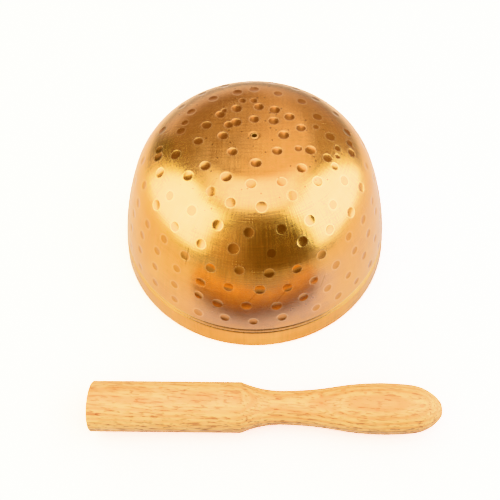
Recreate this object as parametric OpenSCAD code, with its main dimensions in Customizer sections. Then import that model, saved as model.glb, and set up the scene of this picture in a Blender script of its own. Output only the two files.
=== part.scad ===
// Hammered singing bowl and its turned wooden mallet.
// The bowl rests mouth down with the middle of its mouth at the origin, +Z up, millimetres.
// The mallet lies on the same surface, in front of the bowl on the -Y side.

/* [Bowl] */
// Diameter of the bowl across its rim
bowl_d = 130; // [122:1:140]
// Thickness of the metal
metal_t = 2.2; // [1.8:0.1:3]
// Radius of the gentle curve of the wall, seen from the side
wall_curve = 172; // [160:1:200]
// Lean of the wall at the rim, in degrees from upright
rim_lean = 5.6; // [4:0.1:7]
// Lean of the wall where the shoulder begins
shoulder_lean = 21.4; // [19:0.1:24]
// Radius of the shoulder between the wall and the base
shoulder_curve = 36; // [30:0.5:38]
// Width of the bevels on the edge of the lip
lip_bevel = 0.4; // [0.2:0.1:0.6]

/* [Turned lines and centre mark] */
// Height of the lower engraved line above the lip
line_low = 10.6; // [6:0.1:14]
// Distance from the lower line up to the upper one
line_step = 2.1; // [1.5:0.1:4]
// Radius of the cutter that engraved the lines
line_r = 0.3; // [0.2:0.05:0.5]
// Diameter of the lathe centre's mark in the base
mark_d = 2.2; // [1:0.1:3]
// Depth of the centre mark
mark_depth = 0.9; // [0.4:0.1:1.4]

/* [Hammer marks] */
// Diameter of a hammer mark at the surface
dent_d = 4.3; // [3:0.1:5.5]
// Depth of a hammer mark
dent_depth = 0.18; // [0.12:0.02:0.4]
// How far a blow strays along the wall from its ring
stray_along = 1.3; // [0:0.1:2]
// How far a blow strays around its ring, as a share of the spacing
stray_around = 0.16; // [0:0.01:0.2]

/* [Mallet] */
// Radius of the straight grip
grip_r = 10.3; // [9:0.1:11]
// Length of the straight grip
grip_len = 62; // [50:1:75]
// Radius of the waist behind the head
waist_r = 6.9; // [6:0.1:8]
// Distance from the grip's shoulder to the waist
waist_from_grip = 16.5; // [14:0.5:20]
// Radius of the head where it is thickest
head_r = 10.4; // [9.5:0.1:11]
// Radius of the hollow curve that rises from the waist
hollow_curve = 135; // [110:5:160]
// Radius of the full curve along the head
crown_curve = 115; // [90:5:140]
// Radius of the rounded nose
nose_curve = 17; // [14:0.5:19]
// Angle of the crown curve where the nose takes over
nose_turn = 6; // [5:0.5:8]
// Radius of the small flat on the tip of the nose
tip_r = 3; // [2:0.5:4]

/* [Placing] */
// Distance from the bowl's middle to the mallet's axis
mallet_y = -97.4; // [-110:0.1:-90]
// Place of the grip's cut end to the left of the bowl's middle
mallet_x = -69; // [-80:1:-60]
// Turn of the mallet as it lies
mallet_turn = -1.4; // [-10:0.1:10]

/* [Hidden] */
$fn = 180;

brass = [0.84, 0.60, 0.30];
beech = [0.93, 0.75, 0.52];
spare = 1; // how far a cutting shape runs past the metal that it cuts
sphere_fn = 72;

// The outline of the bowl is two tangent arcs and a flat base: [distance from the axis, height].
bowl_r = bowl_d / 2;
wall_mid = [bowl_r - wall_curve * cos(rim_lean), -wall_curve * sin(rim_lean)];
wall_top = wall_mid + wall_curve * [cos(shoulder_lean), sin(shoulder_lean)];
shoulder_mid = wall_top - shoulder_curve * [cos(shoulder_lean), sin(shoulder_lean)];
bowl_h = shoulder_mid[1] + shoulder_curve;
wall_steps = 11;
shoulder_steps = 13;
shoulder_turn = 90 - shoulder_lean;
shoulder_first = shoulder_turn * shoulder_steps / (shoulder_steps + 1);
wall_turn = shoulder_turn + (shoulder_lean - rim_lean) * wall_steps / (wall_steps + 1);

// Lengths along the outside, from the middle of the base to the end of each arc.
base_end = shoulder_mid[0];
shoulder_end = base_end + shoulder_curve * (90 - shoulder_lean) * PI / 180;

// Lean of the outside at a distance along it from the middle of the base: 90 on the flat base.
function lean_at(along) =
    along < base_end ? 90
    : along < shoulder_end ? 90 - (along - base_end) / shoulder_curve * 180 / PI
    : shoulder_lean - (along - shoulder_end) / wall_curve * 180 / PI;
function outside_at(along) =
    along < base_end ? [along, bowl_h]
    : along < shoulder_end ? shoulder_mid + shoulder_curve * [cos(lean_at(along)), sin(lean_at(along))]
    : wall_mid + wall_curve * [cos(lean_at(along)), sin(lean_at(along))];
function wall_r_at(height) = wall_mid[0] + sqrt(wall_curve ^ 2 - (height - wall_mid[1]) ^ 2);
lip_outer_r = wall_r_at(lip_bevel);
lip_inner_r = lip_outer_r - metal_t / cos(rim_lean);

// Points of an arc around a middle, between two turns measured from straight up.
function arc(mid, radius, from, to, steps) =
    [for (i = [0 : steps]) let(turn = from + (to - from) * i / steps) mid + radius * [sin(turn), cos(turn)]];

// Rings of hammer marks from the base to the rim: [distance along the outside, how far the ring sways
// towards the front, blows, turn of the first blow, seed of the ring's scatter].
dent_rings = [
    [12.3, 1.9, 8, 1, 929],
    [22.3, 4.5, 14, 22, 416],
    [32.4, 2.8, 17, 7, 126],
    [43.0, 2.9, 21, 13, 152],
    [54.0, 0, 23, 6, 899],
    [63.4, 0, 28, 6, 189],
    [72.9, 0, 30, 0, 825],
    [82.2, 0, 32, 8, 945],
    [91.9, 0, 31, 12, 735],
];
// Extra blows between the rings: [distance along the outside, turn, share of the usual depth].
extra_blows = [
    [12.7, -121, 0.8], [19.7, 67, 0.5], [27.0, 101, 0.4], [36.7, 66, 0.6], [36.4, 75, 0.3], [35.8, 82, 0.5],
    [42.4, 91, 0.8], [42.8, -83, 1.1], [21.2, 180, 0.5], [21.9, -167, 0.5], [20.0, -140, 0.3], [31.6, -108, 0.6],
];
ball_r = (dent_d ^ 2 / 4 + dent_depth ^ 2) / (2 * dent_depth);

// A repeatable scatter between -1 and 1 for each blow of a ring, by squares of whole numbers.
function scatter(seed, blow, salt) = let(key = seed + 37 * blow + 401 * salt)
    2 * (((key * key * 331 + key * 577 + 113) % 997) / 996) - 1;

// The side view of the metal: up the outside of the lip, wall and shoulder, and back down the inside.
module bowl_section() {
    difference() {
        polygon(concat(
            [[lip_outer_r - lip_bevel, 0], [lip_outer_r, lip_bevel]],
            arc(wall_mid, wall_curve, wall_turn, shoulder_turn, wall_steps),
            arc(shoulder_mid, shoulder_curve, shoulder_first, 0, shoulder_steps),
            [[0, bowl_h], [0, bowl_h - metal_t]],
            arc(shoulder_mid, shoulder_curve - metal_t, 0, shoulder_first, shoulder_steps),
            arc(wall_mid, wall_curve - metal_t, shoulder_turn, wall_turn, wall_steps),
            [[lip_inner_r, lip_bevel], [lip_inner_r + lip_bevel, 0]]
        ));
        for (height = [line_low, line_low + line_step])
            translate([wall_r_at(height), height]) circle(line_r);
        polygon([[-spare, bowl_h - mark_depth], [0, bowl_h - mark_depth], [mark_d / 2, bowl_h], [0, bowl_h + spare]]);
    }
}

// The ball of the hammer, sunk into the outside by a share of the usual depth.
module blow(along, around, share) {
    lean = lean_at(along);
    middle = outside_at(along) + (ball_r - share * dent_depth) * [cos(lean), sin(lean)];
    rotate([0, 0, around - 90]) translate([middle[0], 0, middle[1]]) sphere(ball_r, $fn = sphere_fn);
}

module bowl() {
    color(brass) difference() {
        rotate_extrude() bowl_section();
        for (ring = dent_rings, number = [0 : ring[2] - 1]) {
            spacing = 360 / ring[2];
            turn = ring[3] + spacing * number;
            blow(
                ring[0] + ring[1] * cos(turn) + stray_along * scatter(ring[4], number, 0),
                turn + spacing * stray_around * scatter(ring[4], number, 1),
                1 + 0.15 * scatter(ring[4], number, 2)
            );
        }
        for (extra = extra_blows) blow(extra[0], extra[1], extra[2]);
    }
}

// The mallet's outline is a straight grip, two hollow arcs, a crown and a nose: [distance from the cut end, radius].
waist = [grip_len + waist_from_grip, waist_r];
neck_drop = grip_r - waist_r;
neck_curve = (waist_from_grip ^ 2 + neck_drop ^ 2) / (2 * neck_drop);
rise = head_r - waist_r;
crown = [waist[0] + sqrt(2 * (hollow_curve + crown_curve) * rise - rise ^ 2), head_r];
hollow_mid = waist + [0, hollow_curve];
crown_mid = crown - [0, crown_curve];
meet_turn = asin((crown[0] - waist[0]) / (hollow_curve + crown_curve));
nose_mid = crown_mid + (crown_curve - nose_curve) * [sin(nose_turn), cos(nose_turn)];
tip_turn = acos((tip_r - nose_mid[1]) / nose_curve);

module mallet_section() {
    polygon(concat(
        [[0, 0], [0, grip_r]],
        arc(waist + [0, neck_curve], neck_curve, 180 + asin(waist_from_grip / neck_curve), 180, 12),
        arc(hollow_mid, hollow_curve, 180 - meet_turn / 8, 180 - meet_turn, 7),
        arc(crown_mid, crown_curve, -meet_turn * 7 / 8, nose_turn, 12),
        arc(nose_mid, nose_curve, nose_turn + 5, tip_turn, 9),
        [[nose_mid[0] + nose_curve * sin(tip_turn), 0]]
    ));
}

module mallet() {
    color(beech)
        translate([0, mallet_y, max(grip_r, head_r)]) rotate([0, 0, mallet_turn]) translate([mallet_x, 0, 0])
            rotate([0, 90, 0]) rotate_extrude() mirror([1, -1]) mallet_section();
}

bowl();
mallet();
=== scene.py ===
"""The looks of the hammered singing bowl and its wooden mallet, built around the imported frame."""

import math

import bpy
import numpy as np
from mathutils import Matrix, Vector
from mathutils.geometry import delaunay_2d_cdt


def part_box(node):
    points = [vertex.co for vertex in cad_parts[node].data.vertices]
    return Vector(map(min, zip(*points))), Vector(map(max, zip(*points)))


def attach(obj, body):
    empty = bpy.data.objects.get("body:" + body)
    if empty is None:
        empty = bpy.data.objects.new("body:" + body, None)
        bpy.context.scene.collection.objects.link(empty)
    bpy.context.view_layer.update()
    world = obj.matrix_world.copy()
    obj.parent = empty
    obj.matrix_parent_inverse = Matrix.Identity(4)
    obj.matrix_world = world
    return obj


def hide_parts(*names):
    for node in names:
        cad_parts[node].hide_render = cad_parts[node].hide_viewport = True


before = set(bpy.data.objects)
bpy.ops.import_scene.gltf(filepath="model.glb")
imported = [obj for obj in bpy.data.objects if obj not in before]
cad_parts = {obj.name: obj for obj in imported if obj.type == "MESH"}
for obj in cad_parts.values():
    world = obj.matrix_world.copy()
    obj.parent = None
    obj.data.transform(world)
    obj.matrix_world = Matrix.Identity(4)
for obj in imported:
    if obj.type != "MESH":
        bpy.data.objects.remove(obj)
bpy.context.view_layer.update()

MM = 0.001

# ---------------------------------------------------------------- the bowl's outline, in millimetres

WALL_CURVE, SHOULDER_CURVE = 172.0, 36.0
RIM_LEAN, SHOULDER_LEAN = math.radians(5.6), math.radians(21.4)
METAL_T = 2.2
LIP_ROUND = 0.45
BOWL_R = 65.0
BOWL_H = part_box("bowl")[1].z / MM


def toward(angle):
    """A step of one unit along an angle in the outline's plane: (outward, up)."""
    return np.array([math.cos(angle), math.sin(angle)])


WALL_MID = np.array([BOWL_R, 0.0]) - WALL_CURVE * toward(RIM_LEAN)
SHOULDER_MID = WALL_MID + (WALL_CURVE - SHOULDER_CURVE) * toward(SHOULDER_LEAN)
BASE_END = SHOULDER_MID[0]
SHOULDER_END = BASE_END + SHOULDER_CURVE * (math.pi / 2 - SHOULDER_LEAN)


def outside(along):
    """Radius, height and lean of the outside at a distance along it from the middle of the base."""
    along = np.asarray(along, float)
    on_shoulder = math.pi / 2 - (along - BASE_END) / SHOULDER_CURVE
    on_wall = SHOULDER_LEAN - (along - SHOULDER_END) / WALL_CURVE
    lean = np.where(along < BASE_END, math.pi / 2, np.where(along < SHOULDER_END, on_shoulder, on_wall))
    mid_r = np.where(along < SHOULDER_END, SHOULDER_MID[0], WALL_MID[0])
    mid_z = np.where(along < SHOULDER_END, SHOULDER_MID[1], WALL_MID[1])
    curve = np.where(along < SHOULDER_END, SHOULDER_CURVE, WALL_CURVE)
    radius = np.where(along < BASE_END, along, mid_r + curve * np.cos(lean))
    height = np.where(along < BASE_END, BOWL_H, mid_z + curve * np.sin(lean))
    return radius, height, lean


def along_at_height(height):
    """The distance along the outside, from the middle of the base, to a height on the wall."""
    lean = math.asin((height - WALL_MID[1]) / WALL_CURVE)
    return SHOULDER_END + WALL_CURVE * (SHOULDER_LEAN - lean)


# ---------------------------------------------------------------- hammer marks

DENT_R, DENT_DEPTH = 2.15, 0.18
# How softly a mark meets the plain outside; then the low lip around it: height, distance out and half width.
DENT_EDGE = 0.026
DENT_RAISED, RAISED_OUT, RAISED_HALF = 0.02, 0.16, 0.22
# How far inside a mark's edge its own colour is full.
PATINA_EDGE = 0.35
STRAY_ALONG, STRAY_AROUND, STRAY_DEPTH = 1.3, 0.16, 0.15
# Rings from the base to the rim: distance along the outside, how far the ring sways towards the front,
# blows, turn of the first blow in degrees, seed of the ring's scatter.
DENT_RINGS = (
    (12.3, 1.9, 8, 1, 929), (22.3, 4.5, 14, 22, 416), (32.4, 2.8, 17, 7, 126),
    (43.0, 2.9, 21, 13, 152), (54.0, 0, 23, 6, 899), (63.4, 0, 28, 6, 189),
    (72.9, 0, 30, 0, 825), (82.2, 0, 32, 8, 945), (91.9, 0, 31, 12, 735),
)
# Extra blows between the rings: distance along the outside, turn, share of the usual depth.
EXTRA_BLOWS = (
    (12.7, -121, 0.8), (19.7, 67, 0.5), (27.0, 101, 0.4), (36.7, 66, 0.6),
    (36.4, 75, 0.3), (35.8, 82, 0.5), (42.4, 91, 0.8), (42.8, -83, 1.1),
    (21.2, 180, 0.5), (21.9, -167, 0.5), (20.0, -140, 0.3), (31.6, -108, 0.6),
)


def scatter(seed, blow, salt):
    """A repeatable scatter between -1 and 1, the same one as the frame's marks have."""
    key = seed + 37 * blow + 401 * salt
    return 2 * ((key * key * 331 + key * 577 + 113) % 997) / 996 - 1


def blows():
    """Every hammer mark: distance along the outside, turn around Z from +X, share of the usual depth."""
    found = list(EXTRA_BLOWS)
    for along, sway, count, first, seed in DENT_RINGS:
        spacing = 360 / count
        for number in range(count):
            turn = first + spacing * number
            found.append((
                along + sway * math.cos(math.radians(turn)) + STRAY_ALONG * scatter(seed, number, 0),
                turn + spacing * STRAY_AROUND * scatter(seed, number, 1),
                1 + STRAY_DEPTH * scatter(seed, number, 2),
            ))
    return [(along, math.radians(turn - 90), share) for along, turn, share in found]


BLOWS = blows()


def bell(value, middle, half):
    """A smooth hump: 1 at the middle, and about a third at the half width from it."""
    return np.exp(-((value - middle) / half) ** 2)


def on_outside(along, around):
    """Points of the plain outside, before any mark."""
    radius, height, _ = outside(along)
    return np.stack([radius * np.cos(around), radius * np.sin(around), height], axis=-1)


def hammered(points):
    """How deep the hammer has sunk these points, and how far each is in a mark or on the lip around one."""
    pressed = np.ones(len(points))
    raised, inside = np.zeros(len(points)), np.zeros(len(points))
    for along, around, share in BLOWS:
        apart = ((points - on_outside(along, around)) ** 2).sum(axis=1)
        near = np.flatnonzero(apart < (2 * DENT_R) ** 2)
        cap = DENT_DEPTH * (share - apart[near] / DENT_R ** 2)
        pressed[near] += np.exp(cap / DENT_EDGE)
        past_edge = np.sqrt(apart[near]) - DENT_R * math.sqrt(share)
        raised[near] = np.maximum(raised[near], bell(past_edge, RAISED_OUT, RAISED_HALF))
        inside[near] = np.maximum(inside[near], np.clip(-past_edge / PATINA_EDGE, 0, 1))
    raised /= pressed
    return DENT_EDGE * np.log(pressed) - DENT_RAISED * raised, inside, raised


# ---------------------------------------------------------------- meshes

class Skin:
    """Points and faces of one closed mesh, collected ring by ring."""

    def __init__(self):
        self.points, self.faces = [], []

    def add(self, points):
        """Adds points and says the number of the first."""
        first = len(self.points)
        self.points.extend(tuple(p) for p in points)
        return first

    def ring(self, radius, height, count):
        """Adds one ring around Z: the number of its first point, and how many it has."""
        return self.add(turned_ring(radius, height, count)), count

    def cap(self, middle, ring, flip=False):
        """Closes a ring with triangles to one point."""
        centre = self.add([middle])
        first, count = ring
        for i in range(count):
            pair = [first + i, first + (i + 1) % count]
            self.faces.append([centre] + (pair[::-1] if flip else pair))

    def join(self, a, b):
        """Faces between two rings; one may have a whole number of times as many points as the other."""
        few = min(a[1], b[1])
        a_step, b_step = a[1] // few, b[1] // few
        for i in range(few):
            a_side = [a[0] + (i * a_step + k) % a[1] for k in range(a_step + 1)]
            b_side = [b[0] + (i * b_step + k) % b[1] for k in range(b_step + 1)]
            self.faces.append(b_side + a_side[::-1])

    def join_all(self, rings):
        """Faces between each ring and the next."""
        for a, b in zip(rings, rings[1:]):
            self.join(a, b)

    def piece(self, name, material):
        """The finished object, in metres."""
        mesh = bpy.data.meshes.new(name)
        mesh.from_pydata((np.array(self.points) * MM).tolist(), [], self.faces)
        mesh.validate()
        mesh.polygons.foreach_set("use_smooth", [True] * len(mesh.polygons))
        mesh.materials.append(material)
        made = bpy.data.objects.new(name, mesh)
        bpy.context.scene.collection.objects.link(made)
        return made


def circle(count):
    """Even turns around a circle, from 0."""
    return np.arange(count) * 2 * math.pi / count


def turned_ring(radius, height, count):
    """Points of one ring around Z."""
    around = circle(count)
    return np.stack([radius * np.cos(around), radius * np.sin(around), np.full(count, height)], axis=1)


# ---------------------------------------------------------------- the bowl

# How far the base falls from its middle to its edge, and how far past the edge that fades out.
BASE_DOME, DOME_FADE = 0.2, 14
# The lathe centre's mark, and the fine turned ring around it.
MARK_R, MARK_DEPTH = 1.1, 0.9
RING_R, RING_DEPTH, RING_HALF = 1.9, 0.06, 0.2
# The two engraved lines.
LINE_HEIGHTS = (10.6, 12.7)
LINE_HALF, LINE_DEPTH = 0.26, 0.28

# The mesh: the net of triangles ends here, above the lines, and plain rings of points go on down to the lip.
PATCH_END = 96.6
COLUMNS = 480
WALL_STEP = 0.8
# Rings of mesh points across an engraved line: distance from its middle.
LINE_RINGS = (-0.5, -0.3, -0.19, -0.1, 0, 0.1, 0.19, 0.3, 0.5)
# Loops of mesh points around the centre mark: distance from its middle, and how many points.
MARK_LOOPS = (
    (0.35, 8), (0.7, 16), (0.95, 24), (1.1, 24), (1.25, 24), (1.5, 24),
    (1.75, 28), (1.9, 28), (2.05, 28), (2.4, 24), (3.0, 24), (3.8, 24),
)
# Loops of mesh points around a hammer mark: distance from its edge, and how many points.
EDGE_LOOPS = ((-1.5, 8), (-0.9, 16), (-0.4, 24), (-0.16, 32), (-0.04, 32), (0.08, 32), (0.22, 28), (0.5, 22))
# No loop around a hammer mark is smaller than this.
SMALLEST_LOOP = 0.2
# The flat sheet on which the net is made: it is worked out from this distance on, in so many steps, and
# points that are nearer to each other than the last value are merged.
SHEET_START, SHEET_STEPS = 0.2, 4000
NET_MERGE = 0.03
# The plain spread between the loops: its first row, the distance between points, the distance between rows,
# the turn of each row against the last, and how far it stays from the loops and from its own end.
FIRST_ROW, PLAIN_STEP = 4.8, 1.1
ROW_STEP, ROW_TURN = PLAIN_STEP * 0.87, 2.4
LOOP_CLEAR, END_CLEAR = PLAIN_STEP * 0.6, 0.5
# How far the plain rings of the wall stay from an engraved line and from the lip.
LINE_CLEAR, LIP_CLEAR = 0.9, 0.4


def sunk_at(points, along):
    """How deep every mark together has sunk these points of the outside, at these distances along it."""
    sunk = hammered(points)[0]
    past_base = np.clip(1 - (along - BASE_END) / DOME_FADE, 0, 1)
    sunk += BASE_DOME * np.minimum(along / BASE_END, 1) ** 2 * past_base
    sunk += MARK_DEPTH * np.maximum(0, 1 - along / MARK_R)
    sunk += RING_DEPTH * bell(along, RING_R, RING_HALF)
    for height in LINE_HEIGHTS:
        sunk += LINE_DEPTH * bell(along, along_at_height(height), LINE_HALF)
    return sunk


def worked_outside(along, around):
    """Points of the outside with every mark in it."""
    points = on_outside(along, around)
    lean = outside(along)[2]
    normal = np.stack([np.cos(lean) * np.cos(around), np.cos(lean) * np.sin(around), np.sin(lean)], axis=-1)
    return points - sunk_at(points, along)[:, None] * normal


def sheet_radius(along):
    """Where a distance along the outside lies on a flat sheet on which small shapes keep their form."""
    steps = np.linspace(SHEET_START, PATCH_END, SHEET_STEPS)
    rate = 1 / outside(steps)[0]
    growth = np.concatenate([[0], np.cumsum((rate[1:] + rate[:-1]) / 2 * np.diff(steps))])
    return np.where(along < steps[0], along, np.interp(along, steps, steps[0] * np.exp(growth)))


def patch_points():
    """Distances and turns of mesh points: close loops round each mark, and a plain spread between them."""
    spots = []

    def loop(along, around):
        spots.append(np.stack(np.broadcast_arrays(along, around), axis=-1))

    loop(PATCH_END, circle(COLUMNS))
    loop(0.0, circle(1))
    for along, count in MARK_LOOPS:
        loop(along, circle(count))
    for along, around, share in BLOWS:
        loop(along, np.array([around]))
        for past_edge, count in EDGE_LOOPS:
            reach = DENT_R * math.sqrt(share) + past_edge
            if reach > SMALLEST_LOOP:
                out = along + reach * np.cos(circle(count))
                loop(out, around + reach * np.sin(circle(count)) / outside(out)[0])
    marks = np.array([on_outside(along, around) for along, around, _ in BLOWS])
    edges = np.array([DENT_R * math.sqrt(share) for _, _, share in BLOWS])
    last_loop = EDGE_LOOPS[-1][0]
    for row, along in enumerate(np.arange(FIRST_ROW, PATCH_END - END_CLEAR, ROW_STEP)):
        radius = float(outside(along)[0])
        around = circle(round(2 * math.pi * radius / PLAIN_STEP)) + row * ROW_TURN
        apart = np.linalg.norm(on_outside(np.full(len(around), along), around)[:, None] - marks, axis=2)
        loop(along, around[(apart > edges + last_loop + LOOP_CLEAR).all(axis=1)])
    found = np.concatenate(spots)
    return found[found[:, 0] <= PATCH_END]


def patch(skin):
    """The hammered outside as one net of triangles; the number of the first point of its outer ring."""
    found = patch_points()
    radius = sheet_radius(found[:, 0])
    sheet = np.stack([radius * np.cos(found[:, 1]), radius * np.sin(found[:, 1])], axis=1)
    flat = [Vector(p) for p in sheet.tolist()]
    _, _, faces, kept, _, _ = delaunay_2d_cdt(flat, [], [], 0, NET_MERGE)
    found = found[[ids[0] for ids in kept]]
    first = skin.add(worked_outside(found[:, 0], found[:, 1]))
    skin.faces.extend([first + i for i in face] for face in faces)
    return first


# The lip's rounding, outside and inside: degrees around it, and how many times fewer points the ring has.
LIP_TURNS_OUT = (20, 45, 70, 90)
LIP_TURNS_IN = ((90, 1), (70, 1), (45, 1), (0, 2))
# The inside has fewer points than the outside: its rings up the wall, over the shoulder and on the flat.
INNER_COLUMNS = COLUMNS // 3
WALL_RINGS, SHOULDER_RINGS = 15, 25
FLAT_RINGS = ((12, 2), (7, 4), (3, 8))


def wall_rings(skin):
    """Rings of the outside below the net of triangles, close together across the engraved lines."""
    lines = [along_at_height(h) for h in LINE_HEIGHTS]
    end = along_at_height(LIP_ROUND)
    rows = [line + off for line in lines for off in LINE_RINGS] + [end]
    plain = np.arange(PATCH_END + WALL_STEP, end - LIP_CLEAR, WALL_STEP)
    rows += [row for row in plain if all(abs(row - line) > LINE_CLEAR for line in lines)]
    turns = circle(COLUMNS)
    return [(skin.add(worked_outside(np.full(COLUMNS, row), turns)), COLUMNS) for row in sorted(rows)]


def lip_rings(skin):
    """Rings around the rounded lip, from the outside to the inside."""
    rings = []
    lip_out = BOWL_R - LIP_ROUND * (1 + math.tan(RIM_LEAN))
    lip_in = BOWL_R - METAL_T / math.cos(RIM_LEAN) + LIP_ROUND
    for turn in LIP_TURNS_OUT:
        step = LIP_ROUND * toward(-math.radians(turn))
        rings.append(skin.ring(lip_out + step[0], LIP_ROUND + step[1], COLUMNS))
    for turn, fewer in LIP_TURNS_IN:
        step = LIP_ROUND * toward(math.radians(180 + turn))
        rings.append(skin.ring(lip_in + step[0], LIP_ROUND + step[1], COLUMNS // fewer))
    return rings


def inside_rings(skin):
    """Rings of the plain inside, from the lip to the flat."""
    rings = []
    for mid, curve, start, end, count in (
        (WALL_MID, WALL_CURVE, RIM_LEAN, SHOULDER_LEAN, WALL_RINGS),
        (SHOULDER_MID, SHOULDER_CURVE, SHOULDER_LEAN, math.pi / 2, SHOULDER_RINGS),
    ):
        for lean in np.linspace(start, end, count + 1)[1:]:
            spot = mid + (curve - METAL_T) * toward(lean)
            rings.append(skin.ring(spot[0], spot[1], INNER_COLUMNS))
    for radius, fewer in FLAT_RINGS:
        rings.append(skin.ring(radius, BOWL_H - METAL_T, INNER_COLUMNS // fewer))
    return rings


# Colour shares: a painted highlight on a ring around the centre mark, a black fill in the mark that fades out
# just past it, and a darker fill in the engraved lines. A point is on the base when it is this near to the
# base's height, and on the low wall when it is this near to the rim's radius.
HIGHLIGHT_RING_R, HIGHLIGHT_RING_HALF, HIGHLIGHT_RING_SHARE = 1.55, 0.25, 0.8
DARK_FILL_R, DARK_FILL_FADE = MARK_R * 1.2, MARK_R / 3
LINE_DARK, LINE_DARK_HALF = 0.85, 0.32
ON_BASE, ON_WALL = 1.0, 5
FAR_AWAY = 99.0


def lay_colour_shares(mesh, points):
    """Gives each point its shares for the brass: in a hammer mark, under a painted highlight on a lip, and
    under the dark fill.
    """
    _, in_mark, highlight_ring = hammered(points)
    radius, height = np.hypot(points[:, 0], points[:, 1]), points[:, 2]
    from_middle = np.where(height > BOWL_H - ON_BASE, radius, FAR_AWAY)
    on_wall = radius > BOWL_R - ON_WALL
    # Painted highlight: the lips around the hammer marks, and a ring around the centre mark, get a light
    # colour.
    highlight_ring += HIGHLIGHT_RING_SHARE * bell(from_middle, HIGHLIGHT_RING_R, HIGHLIGHT_RING_HALF)
    # Black fills the centre mark and fades out just past it; the engraved lines get a darker share.
    dark_fill = np.clip((DARK_FILL_R - from_middle) / DARK_FILL_FADE, 0, 1)
    for line in LINE_HEIGHTS:
        dark_fill += LINE_DARK * on_wall * bell(height, line, LINE_DARK_HALF)
    for name, share in (("in_mark", in_mark), ("painted_edge_highlight", highlight_ring), ("dark_fill", np.clip(dark_fill, 0, 1))):
        mesh.attributes.new(name, "FLOAT", "POINT").data.foreach_set("value", share)


def bowl_piece():
    """The whole bowl: hammered outside, engraved lines, rounded lip and plain inside."""
    skin = Skin()
    rings = [(patch(skin), COLUMNS)]
    rings += wall_rings(skin)
    rings += lip_rings(skin)
    rings += inside_rings(skin)
    skin.join_all(rings)
    skin.cap((0, 0, BOWL_H - METAL_T), rings[-1], flip=True)
    made = skin.piece("hammered_bowl", brass())
    lay_colour_shares(made.data, np.array(skin.points))
    return made


# ---------------------------------------------------------------- the mallet, along its own X axis

GRIP_R, GRIP_LEN = 10.3, 62.0
WAIST_R, WAIST_FROM_GRIP = 6.9, 16.5
HEAD_R = 10.4
HOLLOW_CURVE, CROWN_CURVE, NOSE_CURVE = 135.0, 115.0, 17.0
NOSE_TURN = math.radians(6)
TIP_R = 3.0
MALLET_PLACE = Vector((0, -97.4, HEAD_R)) * MM
MALLET_TURN = math.radians(-1.4)
MALLET_START = -69.0
# The small rounding of the grip's cut end: distance from the end, and how much thinner the grip is there.
END_ROUND = ((0.0, 0.9), (0.05, 0.3), (0.3, 0.06), (0.8, 0.0))
GRIP_STEP = 2.0
MALLET_COLUMNS = 96


def arc(mid, radius, start, end, steps):
    """Points of an arc between two turns measured from straight up."""
    turns = np.linspace(start, end, steps + 1)
    return [(mid[0] + radius * math.sin(t), mid[1] + radius * math.cos(t)) for t in turns]


def mallet_outline():
    """The outline from the cut end to the tip, as distances from that end and radii, and where the tip is."""
    waist = (GRIP_LEN + WAIST_FROM_GRIP, WAIST_R)
    drop, rise = GRIP_R - WAIST_R, HEAD_R - WAIST_R
    neck = (WAIST_FROM_GRIP ** 2 + drop ** 2) / (2 * drop)
    crown_x = waist[0] + math.sqrt(2 * (HOLLOW_CURVE + CROWN_CURVE) * rise - rise ** 2)
    crown_mid = (crown_x, HEAD_R - CROWN_CURVE)
    meet = math.asin((crown_x - waist[0]) / (HOLLOW_CURVE + CROWN_CURVE))
    reach = CROWN_CURVE - NOSE_CURVE
    nose_mid = (crown_mid[0] + reach * math.sin(NOSE_TURN), crown_mid[1] + reach * math.cos(NOSE_TURN))
    tip = math.acos((TIP_R - nose_mid[1]) / NOSE_CURVE)
    outline = [(0.0, 3.5), (0.0, 6.8)]
    outline += [(x, GRIP_R - thinner) for x, thinner in END_ROUND]
    outline += [(x, GRIP_R) for x in np.arange(3, GRIP_LEN - 1.5, GRIP_STEP)]
    outline += [(GRIP_LEN - 0.7, GRIP_R), (GRIP_LEN - 0.2, GRIP_R - 0.02)]
    neck_start = math.pi + math.asin(WAIST_FROM_GRIP / neck) - 0.01
    outline += arc((waist[0], WAIST_R + neck), neck, neck_start, math.pi, 12)
    outline += arc((waist[0], WAIST_R + HOLLOW_CURVE), HOLLOW_CURVE, math.pi - meet / 12, math.pi - meet, 11)
    outline += arc(crown_mid, CROWN_CURVE, -meet * 11 / 12, NOSE_TURN, 18)
    outline += arc(nose_mid, NOSE_CURVE, NOSE_TURN + 0.05, tip - 0.03, 16)
    end_x = nose_mid[0] + NOSE_CURVE * math.sin(tip)
    tip_x = end_x + 0.02
    outline += [(end_x, TIP_R - 0.25), (tip_x, TIP_R * 0.5)]
    return outline, tip_x


def mallet_piece():
    """The mallet, turned about Z and then laid down along X with its cut end first."""
    outline, tip_x = mallet_outline()
    skin = Skin()
    rings = [skin.ring(radius, x, MALLET_COLUMNS) for x, radius in outline]
    for a, b in zip(rings, rings[1:]):
        skin.join(b, a)
    skin.cap((0, 0, 0), rings[0], flip=True)
    skin.cap((0, 0, tip_x), rings[-1])
    piece = skin.piece("turned_mallet", beech())
    lay_down = Matrix(((0, 0, 1, 0), (0, -1, 0, 0), (1, 0, 0, 0), (0, 0, 0, 1)))
    piece.data.transform(lay_down)
    piece.matrix_world = (
        Matrix.Translation(MALLET_PLACE) @ Matrix.Rotation(MALLET_TURN, 4, "Z")
        @ Matrix.Translation((MALLET_START * MM, 0, 0))
    )
    return piece


# ---------------------------------------------------------------- materials

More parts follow.
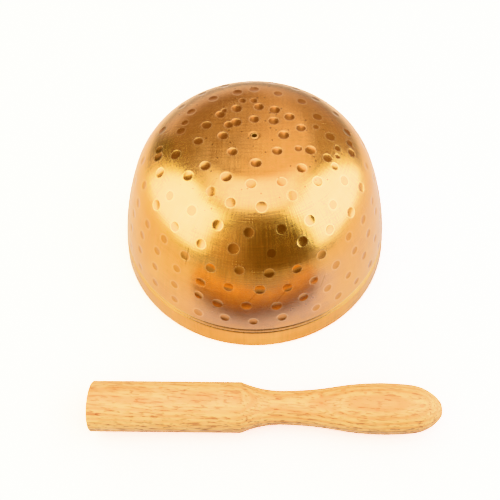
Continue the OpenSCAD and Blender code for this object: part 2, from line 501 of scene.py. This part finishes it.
class Nodes:
    """A small helper that adds nodes to a material and links them."""

    def __init__(self, name):
        self.material = bpy.data.materials.new(name)
        self.material.use_nodes = True
        self.tree = self.material.node_tree
        self.shader = self.tree.nodes["Principled BSDF"]

    def add(self, kind, **settings):
        """A new node, with some of its settings or sockets set."""
        node = self.tree.nodes.new("ShaderNode" + kind)
        for key, value in settings.items():
            if hasattr(node, key):
                setattr(node, key, value)
            else:
                node.inputs[key].default_value = value
        return node

    def link(self, output, socket):
        self.tree.links.new(output, socket)

    def fill(self, socket, value):
        """Sets a socket to a number or a colour, or links an output to it."""
        if isinstance(value, (int, float)):
            socket.default_value = value
        elif isinstance(value, tuple):
            socket.default_value = (*value, 1)
        else:
            self.link(value, socket)

    def math(self, operation, *values):
        node = self.add("Math", operation=operation)
        for socket, value in zip(node.inputs, values):
            self.fill(socket, value)
        return node.outputs[0]

    def plus(self, a, b):
        return self.math("ADD", a, b)

    def minus(self, a, b):
        return self.math("SUBTRACT", a, b)

    def times(self, product, *factors):
        for factor in factors:
            product = self.math("MULTIPLY", product, factor)
        return product

    def distance(self, a, b):
        """How far a spot is from the origin, from its two parts."""
        return self.math("SQRT", self.plus(self.times(a, a), self.times(b, b)))

    def point(self, x, y, z):
        node = self.add("CombineXYZ")
        for socket, value in zip(node.inputs, (x, y, z)):
            self.fill(socket, value)
        return node.outputs[0]

    def split(self, place):
        """The X, Y and Z of a place."""
        node = self.add("SeparateXYZ")
        self.link(place, node.inputs[0])
        return node.outputs

    def noise(self, place, scale=1.0, detail=2.0, roughness=0.5):
        node = self.add("TexNoise", Scale=scale, Detail=detail, Roughness=roughness)
        self.link(place, node.inputs["Vector"])
        return node.outputs["Fac"]

    def specks(self, place, scale, size):
        """1 in small round specks, in three of every ten cells of a scattered pattern, and 0 between them."""
        cells = self.add("TexVoronoi", Scale=scale)
        self.link(place, cells.inputs["Vector"])
        chosen = self.add("SeparateColor")
        self.link(cells.outputs["Color"], chosen.inputs[0])
        few = self.math("GREATER_THAN", chosen.outputs[0], 0.7)
        return self.times(self.rise(cells.outputs["Distance"], size * 1.4, size), few)

    def rise(self, value, start, end):
        """0 at start, 1 at end, and smooth between."""
        node = self.add("MapRange", interpolation_type="SMOOTHSTEP")
        node.inputs["From Min"].default_value = start
        node.inputs["From Max"].default_value = end
        self.link(value, node.inputs["Value"])
        return node.outputs[0]

    def ramp(self, value, start, end):
        """Grey between two stops, each a position and its share."""
        node = self.add("ValToRGB")
        for stop, (position, share) in zip(node.color_ramp.elements, (start, end)):
            stop.position = position
            stop.color = (share, share, share, 1)
        self.link(value, node.inputs["Fac"])
        return node.outputs["Color"]

    def mix(self, share, a, b, blend="MIX"):
        node = self.add("Mix", data_type="RGBA", blend_type=blend)
        for socket, value in ((node.inputs[0], share), (node.inputs[6], a), (node.inputs[7], b)):
            self.fill(socket, value)
        return node.outputs[2]

    def layered(self, tone, layers):
        """A tone with colours laid over it in turn, each given with its share."""
        for share, color in layers:
            tone = self.mix(share, tone, color)
        return tone

    def bump(self, height, distance):
        node = self.add("Bump", Strength=1.0, Distance=distance)
        self.link(height, node.inputs["Height"])
        return node.outputs["Normal"]


# ---------------------------------------------------------------- brass (places in materials are in metres)

DEEP_BRASS, BRIGHT_BRASS = (0.86, 0.39, 0.09), (0.96, 0.49, 0.14)
# The last colour here is a painted reflection: the brown of the mallet as the low front of the bowl reflects
# it.
STAIN, FILM, PAINTED_REFLECTION = (0.72, 0.32, 0.08), (0.70, 0.33, 0.13), (0.54, 0.275, 0.14)
# The first colour is the dark patina inside the marks; the second is a painted highlight for the lips around
# them.
IN_MARK, EDGE_HIGHLIGHT = (0.54, 0.22, 0.055), (0.97, 0.66, 0.34)
# The last colour here is a near-black fill for the centre mark and the engraved lines.
PIT, SCRATCH, DARK_FILL = (0.36, 0.15, 0.04), (0.40, 0.16, 0.04), (0.045, 0.009, 0.004)
BRUSHING_HEIGHT = 0.000022
SCRATCH_HALF, SCRATCH_END = 0.0004, 0.003
# Scratches on the front wall, from spot to spot: (x, z).
SCRATCHES = (
    ((-0.0070, 0.026), (0.0015, 0.038)),
    ((0.0065, 0.027), (0.0150, 0.040)),
    ((0.0270, 0.030), (0.0295, 0.038)),
    ((-0.0190, 0.024), (-0.0120, 0.029)),
    ((-0.0300, 0.040), (-0.0270, 0.052)),
)


def scratch(n, x, z, start, end):
    """1 in a fine scratch between two spots of the wall, given as (x, z), and 0 away from it."""
    length = math.dist(start, end)
    along_x, along_z = (end[0] - start[0]) / length, (end[1] - start[1]) / length
    off_x, off_z = n.minus(x, start[0]), n.minus(z, start[1])
    on = n.plus(n.times(off_x, along_x), n.times(off_z, along_z))
    off = n.minus(n.times(off_z, along_x), n.times(off_x, along_z))
    thin = n.rise(n.math("ABSOLUTE", off), SCRATCH_HALF, SCRATCH_HALF / 4)
    ends = n.times(n.rise(on, 0.0, SCRATCH_END), n.rise(on, length, length - SCRATCH_END))
    return n.times(thin, ends)


def brushing(n, x, y, z, radius, on_wall):
    """Fine lines: round the wall and up it, and crossed straight ones on the base."""

    def lines(a, a_scale, b, b_scale, apart):
        return n.noise(n.point(n.times(a, a_scale), n.times(b, b_scale), apart), 1.0, 2, 0.6)

    around, down = n.math("ARCTAN2", y, x), n.minus(radius, z)
    round_wall, up_wall = lines(around, 1.2, down, 1300, 0), lines(around, 75, down, 45, 5)
    to_back, to_side = lines(x, 900, y, 60, 0), lines(x, 60, y, 900, 3)
    return n.times(n.plus(n.mix(on_wall, to_back, round_wall), n.mix(on_wall, to_side, up_wall)), 0.5)


def film_and_painted_reflection(n, x, y, z, stains):
    """A film low down, most on the right and at least half behind, and its share on the low front middle,
    where the mallet's reflection is painted in brown.
    """
    rightwards = n.plus(n.minus(n.times(x, 14), n.times(z, 35)), 1.78)
    film = n.math("MAXIMUM", rightwards, n.times(n.rise(y, -0.02, 0.03), 0.5))
    film = n.times(n.math("MINIMUM", film, 1.0), n.rise(z, 0.006, 0.018))
    film = n.times(film, n.plus(stains, 0.4))
    # The low front middle, where the mallet is reflected, gets a painted reflection of it in brown, and more
    # film.
    middle = n.times(n.rise(n.math("ABSOLUTE", x), 0.046, 0.018), n.rise(z, 0.048, 0.035))
    return film, n.times(middle, n.rise(y, 0.0, -0.03), film)


def brass():
    """Brushed satin brass: stained patches, a film low down, a painted reflection of the mallet on the low
    front, dark marks, painted highlights on their lips, and dark-filled cuts.
    """
    n = Nodes("satin_brass")
    place = n.add("TexCoord").outputs["Object"]
    x, y, z = n.split(place)
    radius = n.distance(x, y)
    on_wall = n.rise(radius, 0.018, 0.040)
    streaks = brushing(n, x, y, z, radius, on_wall)
    patches, stains, grain = n.noise(place, 28, 4, 0.6), n.noise(place, 75, 5, 0.7), n.noise(place, 2600, 2)
    film, painted_reflection_film = film_and_painted_reflection(n, x, y, z, stains)
    in_mark, painted_edge_highlight, dark_fill = (
        n.add("Attribute", attribute_name=name).outputs["Fac"] for name in ("in_mark", "painted_edge_highlight", "dark_fill")
    )
    # The brushing is fainter on the base. Inside the marks the metal is smoother and has less film.
    depth = n.plus(n.times(on_wall, 0.6), 0.4)
    worn = n.minus(1.0, n.times(in_mark, 0.45))

    tone = n.mix(n.ramp(patches, (0.35, 0.0), (0.65, 1.0)), DEEP_BRASS, BRIGHT_BRASS)
    tone = n.mix(n.ramp(stains, (0.5, 0.0), (0.72, 0.6)), tone, STAIN)
    tone = n.mix(depth, tone, n.ramp(streaks, (0.36, 0.78), (0.62, 1.0)), "MULTIPLY")
    pits = n.times(n.specks(place, 400, 0.12), n.rise(z, 0.058, 0.066))
    on_front = n.rise(y, 0.0, -0.01)
    scratches = [n.times(scratch(n, x, z, start, end), on_front, 0.5) for start, end in SCRATCHES]
    tone = n.layered(tone, (
        (n.times(film, 0.3), FILM),
        # Painted reflection: brown where the low front reflects the mallet.
        (n.times(painted_reflection_film, 1.15), PAINTED_REFLECTION),
        (n.times(in_mark, 0.72), IN_MARK),
        # Painted highlight on the lips of the marks and on the ring around the centre mark.
        (n.times(painted_edge_highlight, 0.4), EDGE_HIGHLIGHT),
        (pits, PIT),
        *((share, SCRATCH) for share in scratches),
        # Near-black in the centre mark, darker in the engraved lines.
        (n.times(dark_fill, 0.98), DARK_FILL),
    ))
    n.link(tone, n.shader.inputs["Base Color"])

    rough = n.times(n.plus(n.times(streaks, 0.16), n.times(stains, 0.14)), worn)
    rough = n.plus(n.plus(rough, n.times(dark_fill, 0.4)), 0.09)
    n.link(rough, n.shader.inputs["Roughness"])
    height = n.times(n.plus(n.times(streaks, 2.0), n.times(grain, 0.05)), depth, worn)
    n.link(n.bump(height, BRUSHING_HEIGHT), n.shader.inputs["Normal"])
    coat = n.plus(n.times(film, 0.36), n.times(painted_reflection_film, n.rise(z, 0.010, 0.026), 0.7))
    coat = n.times(n.plus(coat, 0.1), worn, n.minus(1.0, dark_fill))
    n.link(coat, n.shader.inputs["Coat Weight"])
    n.shader.inputs["Metallic"].default_value = 1.0
    n.shader.inputs["Coat IOR"].default_value = 1.7
    n.shader.inputs["Coat Roughness"].default_value = 0.35
    return n.material


# ---------------------------------------------------------------- beech

DEEP_WOOD, PALE_WOOD, CLOUD = (0.84, 0.39, 0.10), (0.97, 0.62, 0.22), (0.97, 0.66, 0.27)
# The first colour here is painted shade, laid on the mallet's lower side.
UNDERSIDE_SHADE, FIBRE = (0.50, 0.19, 0.19), (0.74, 0.36, 0.11)
# The last colour here is painted light: the bowl's golden glow, laid in specks on the mallet's top at the
# back.
FLECK, SHORT_FLECK, BOWL_LIGHT = (0.42, 0.12, 0.03), (0.36, 0.09, 0.02), (0.80, 0.30, 0.06)
# How far the grain leans across X, the pith's place beside and above the axis, and the width of a year.
GRAIN_LEAN = 0.06
PITH_Y, PITH_Z = 0.004, 0.026
YEAR = 0.0022
FIBRE_HEIGHT = 0.00003


def beech():
    """Bare sanded beech: growth bands, fibres and short dark flecks along the grain, painted shade on the
    underside, and painted light from the bowl in orange specks on the top at the back.
    """
    n = Nodes("bare_beech")
    place = n.add("TexCoord").outputs["Object"]
    x, y, z = n.split(place)
    y = n.plus(y, n.times(x, GRAIN_LEAN))

    def drawn(along, cross, detail, seed):
        """Noise drawn out along the grain."""
        moved = n.add("VectorMath", operation="ADD")
        n.link(n.point(n.times(x, along), n.times(y, cross), n.times(z, cross)), moved.inputs[0])
        moved.inputs[1].default_value = (seed, seed, seed)
        return n.noise(moved.outputs[0], 1.0, detail)

    from_pith = n.distance(n.minus(y, PITH_Y), n.minus(z, PITH_Z))
    from_pith = n.plus(from_pith, n.times(n.noise(place, 22, 2), 0.004))
    years = n.math("SINE", n.times(from_pith, 2 * math.pi / YEAR))
    years = n.ramp(n.plus(n.times(years, 0.5), 0.5), (0.3, 0.0), (1.0, 1.0))
    flecks = n.ramp(drawn(150, 1350, 1, 0), (0.59, 0.0), (0.64, 1.0))
    short_flecks = n.ramp(drawn(310, 2000, 1, 9), (0.595, 0.0), (0.635, 1.0))
    fibres = drawn(70, 1500, 3, 4)
    # Painted light: specks of the bowl's golden glow, only on the top and on the side facing the bowl.
    bowl_light_specks = n.specks(n.point(n.times(x, 0.7), y, z), 330, 0.2)
    bowl_light_specks = n.times(bowl_light_specks, n.rise(y, -0.001, 0.004), n.rise(z, 0.002, 0.006))
    tone = n.mix(n.times(years, 0.85), PALE_WOOD, DEEP_WOOD)
    tone = n.layered(tone, (
        (n.ramp(n.noise(place, 60, 3), (0.42, 0.0), (0.66, 0.55)), CLOUD),
        # Painted shade on the lower side of the mallet.
        (n.times(n.rise(z, 0.006, -0.007), 0.95), UNDERSIDE_SHADE),
        (n.ramp(fibres, (0.45, 0.0), (0.65, 0.6)), FIBRE),
        (n.times(flecks, 0.66), FLECK),
        (n.times(short_flecks, 0.7), SHORT_FLECK),
        # Painted light from the bowl.
        (n.times(bowl_light_specks, 0.55), BOWL_LIGHT),
    ))
    n.link(tone, n.shader.inputs["Base Color"])
    n.link(n.plus(n.times(fibres, 0.2), 0.45), n.shader.inputs["Roughness"])
    n.link(n.bump(n.minus(fibres, flecks), FIBRE_HEIGHT), n.shader.inputs["Normal"])
    return n.material


# The table's grey as the metal sees it, with painted shade behind and far in front of the bowl, and its white
# to the camera.
TABLE_GREY, TABLE_BACK_SHADE, TABLE_FRONT_SHADE = (0.8, 0.8, 0.8), (0.42, 0.42, 0.42), (0.42, 0.42, 0.44)
TABLE_WHITE = (6.0, 6.0, 6.0)


def plain_white():
    """The white surface: blown out to the camera, and to other rays a grey with painted shade behind and in
    front.
    """
    n = Nodes("white_table")
    n.tree.nodes.remove(n.shader)
    _, y, _ = n.split(n.add("TexCoord").outputs["Object"])
    # Painted shade: the grey darkens behind the bowl, and again far in front of the mallet.
    grey = n.mix(n.rise(y, 0.08, 0.40), TABLE_GREY, TABLE_BACK_SHADE)
    grey = n.mix(n.rise(y, -0.10, -0.15), grey, TABLE_FRONT_SHADE)
    paper = n.add("BsdfDiffuse")
    camera_ray = n.add("LightPath").outputs["Is Camera Ray"]
    n.link(n.mix(camera_ray, grey, TABLE_WHITE), paper.inputs["Color"])
    n.link(paper.outputs[0], n.tree.nodes["Material Output"].inputs["Surface"])
    return n.material


# ---------------------------------------------------------------- the stage

# In metres: the table's front edge, and how far away the dome stands.
TABLE_FRONT = -0.20
DOME_R = 1.5


def table_top():
    """The pale surface, cut back in front where the photographer stands."""
    outline = [
        (-2, 2), (2, 2), (2, -1.6), (1.4, -1.6),
        (0.17, TABLE_FRONT), (-0.10, TABLE_FRONT), (-0.9, -1.6), (-2, -1.6),
    ]
    mesh = bpy.data.meshes.new("table_top")
    mesh.from_pydata([(x, y, 0) for x, y in outline], [], [list(range(len(outline)))[::-1]])
    top = bpy.data.objects.new("table_top", mesh)
    bpy.context.scene.collection.objects.link(top)
    mesh.materials.append(plain_white())


def direction(azimuth, elevation):
    """A unit vector; azimuth 0 is towards the camera and 90 to its right, in degrees."""
    turn, rise = math.radians(azimuth), math.radians(elevation)
    return Vector((math.sin(turn) * math.cos(rise), -math.cos(turn) * math.cos(rise), math.sin(rise)))


def fade(value, start, end):
    """0 before start, 1 after end, and smooth between."""
    share = np.clip((value - start) / (end - start), 0, 1)
    return share * share * (3 - 2 * share)


def between(value, low, high, low_edge, high_edge):
    """1 between low and high, fading out over an edge at each side."""
    low_side = fade(value, low - low_edge / 2, low + low_edge / 2)
    return low_side * (1 - fade(value, high - high_edge / 2, high + high_edge / 2))


# What stands around the bowl, later ones over earlier ones: azimuths and elevations in degrees, the soft
# edge of each side (left, right, bottom, top), and the light. Azimuth 0 is the camera's side.
AROUND = (
    ((140, 220), (46, 68), (24, 24, 12, 4), (2.3, 2.1, 2.2)),
    ((-240, -120), (-30, 46), (20, 20, 4, 12), (1.02, 0.94, 1.06)),
    ((-215, -145), (-30, 12), (20, 20, 4, 22), (0.92, 0.98, 1.16)),
    ((-182, -118), (18, 57), (8, 10, 24, 10), (0.39, 0.28, 0.28)),
    ((-139, -126), (0, 27), (8, 6, 6, 10), (0.20, 0.17, 0.13)),
    ((118, 172), (-30, 58), (8, 36, 4, 10), (0.56, 0.45, 0.44)),
    ((-40, 56), (40, 82), (20, 8, 20, 4), (0.44, 0.32, 0.28)),
    ((-19, 60), (-30, 63), (12, 6, 4, 12), (0.54, 0.42, 0.40)),
    ((-8, 52), (-30, 60), (16, 4, 4, 22), (0.22, 0.14, 0.105)),
    ((-112, -44), (2, 58), (4, 9, 2, 2), (5.6, 7.6, 5.8)),
    ((51, 116), (2, 61), (4, 4, 2, 2), (5.8, 8.2, 8.2)),
)
WALL_LIGHT = (0.70, 0.56, 0.50)
# The top light begins at this elevation, and higher towards the camera, the left and the right. Its edge is
# soft behind the bowl and sharper in front.
TOP_LIGHT = (3.4, 4.4, 4.8)
TOP_EDGE, FRONT_RISE, LEFT_RISE, RIGHT_RISE = 63, 11.5, 8.0, 3.0
SOFT_BEHIND, SOFT_IN_FRONT = 6.0, 1.5
DOME_COLUMNS, DOME_ROWS, DOME_LOW = 240, 76, -22


def light_around(azimuth, elevation):
    """The light that comes to the bowl from these directions, as rows of red, green and blue."""
    light = np.tile(np.array(WALL_LIGHT), (len(azimuth), 1))
    for (left, right), (low, high), (soft_l, soft_r, soft_b, soft_t), color in AROUND:
        sides = [between(azimuth - turn, left, right, soft_l, soft_r) for turn in (0, 360)]
        share = (np.maximum(*sides) * between(elevation, low, high, soft_b, soft_t))[:, None]
        light = light * (1 - share) + share * color
    forward, sideways = np.cos(np.radians(azimuth)), np.sin(np.radians(azimuth))
    edge = TOP_EDGE + FRONT_RISE * np.maximum(0, forward) ** 3
    edge += np.where(sideways < 0, LEFT_RISE, RIGHT_RISE) * sideways ** 2
    soft = np.where(np.abs(azimuth) > 90, SOFT_BEHIND, SOFT_IN_FRONT)
    share = fade(elevation, edge - soft, edge + soft)[:, None]
    return light * (1 - share) + share * TOP_LIGHT


def studio_dome():
    """A dome seen in reflections alone: soft boxes, a top light, and the dim room in front and behind."""
    width = DOME_COLUMNS + 1
    turns, rises = np.linspace(-180, 180, width), np.linspace(DOME_LOW, 90, DOME_ROWS + 1)
    azimuth, elevation = (grid.ravel() for grid in np.meshgrid(turns, rises))
    points = [direction(a, e) * DOME_R for a, e in zip(azimuth, elevation)]
    corners = [row * width + column for row in range(DOME_ROWS) for column in range(DOME_COLUMNS)]
    faces = [(corner, corner + 1, corner + width + 1, corner + width) for corner in corners]
    mesh = bpy.data.meshes.new("studio_dome")
    mesh.from_pydata(points, [], faces)
    light = np.ones((len(points), 4))
    light[:, :3] = light_around(azimuth, elevation)
    mesh.attributes.new("light", "FLOAT_COLOR", "POINT").data.foreach_set("color", light.ravel())
    n = Nodes("studio_dome")
    n.tree.nodes.remove(n.shader)
    glow = n.add("Emission")
    n.link(n.add("Attribute", attribute_name="light").outputs["Color"], glow.inputs["Color"])
    before_any_bounce = n.math("LESS_THAN", n.add("LightPath").outputs["Diffuse Depth"], 0.5)
    n.link(before_any_bounce, glow.inputs["Strength"])
    n.link(glow.outputs[0], n.tree.nodes["Material Output"].inputs["Surface"])
    mesh.materials.append(n.material)
    made = bpy.data.objects.new("studio_dome", mesh)
    made.visible_camera = made.visible_diffuse = made.visible_shadow = False
    bpy.context.scene.collection.objects.link(made)


def lamp(name, azimuth, elevation, size, power, color=(1, 1, 1)):
    """A soft lamp, 1 m away, that lights the surfaces without being seen in reflections."""
    light = bpy.data.lights.new(name, "AREA")
    light.size = size
    light.energy = power
    light.color = color
    made = bpy.data.objects.new(name, light)
    made.location = direction(azimuth, elevation)
    made.rotation_mode = "QUATERNION"
    made.rotation_quaternion = made.location.to_track_quat("Z", "Y")
    made.visible_camera = made.visible_glossy = False
    bpy.context.scene.collection.objects.link(made)


# What everything but the camera sees around the dome, and the blown-out white that the camera sees.
DIM_WORLD, WHITE_WORLD = (0.24, 0.24, 0.24, 1), (6.0, 6.0, 6.0, 1)


def world_around():
    """A dim even world that is blown-out white to the camera."""
    world = bpy.data.worlds.new("studio")
    bpy.context.scene.world = world
    world.use_nodes = True
    tree = world.node_tree
    dim = tree.nodes["Background"]
    dim.inputs["Color"].default_value = DIM_WORLD
    white = tree.nodes.new("ShaderNodeBackground")
    white.inputs["Color"].default_value = WHITE_WORLD
    path = tree.nodes.new("ShaderNodeLightPath")
    mix = tree.nodes.new("ShaderNodeMixShader")
    tree.links.new(path.outputs["Is Camera Ray"], mix.inputs[0])
    tree.links.new(dim.outputs[0], mix.inputs[1])
    tree.links.new(white.outputs[0], mix.inputs[2])
    tree.links.new(mix.outputs[0], tree.nodes["World Output"].inputs["Surface"])


def studio():
    """Two soft boxes, a broad top light and a dim front for the metal, and soft lamps for everything else."""
    studio_dome()
    lamp("left_lamp", -80, 33, 1.2, 13.0, (1.0, 1.0, 0.80))
    lamp("right_lamp", 80, 33, 1.2, 9.0)
    lamp("top_lamp", 0, 86, 0.9, 8.0)
    world_around()
    bpy.context.scene.view_settings.view_transform = "Khronos PBR Neutral"


# The camera: its place, how far it looks down, its roll and its lens.
CAMERA_PLACE = Vector((-2.5, -181.8, 256.2)) * MM
CAMERA_DOWN, CAMERA_ROLL = math.radians(56.53), math.radians(-0.80)
SENSOR, LENS = 36.0, 43.8


def camera():
    """The photographer's view: from above and in front of the mallet, looking down at 56.5 degrees."""
    forward = Vector((0, math.cos(CAMERA_DOWN), -math.sin(CAMERA_DOWN)))
    up = Vector((0, math.sin(CAMERA_DOWN), math.cos(CAMERA_DOWN)))
    right = Vector((1, 0, 0))
    tilted_right = math.cos(CAMERA_ROLL) * right + math.sin(CAMERA_ROLL) * up
    tilted_up = -math.sin(CAMERA_ROLL) * right + math.cos(CAMERA_ROLL) * up
    lens = bpy.data.cameras.new("camera")
    lens.sensor_width, lens.lens = SENSOR, LENS
    lens.clip_start, lens.clip_end = 0.01, 20
    view = bpy.data.objects.new("camera", lens)
    turn = Matrix((tilted_right, tilted_up, -forward)).transposed().to_4x4()
    view.matrix_world = Matrix.Translation(CAMERA_PLACE) @ turn
    bpy.context.scene.collection.objects.link(view)
    bpy.context.scene.camera = view


# ---------------------------------------------------------------- putting it together

camera()
studio()
table_top()

bowl = bowl_piece()
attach(bowl, "bowl")
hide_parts("bowl")

mallet = mallet_piece()
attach(mallet, "mallet")
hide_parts("mallet")
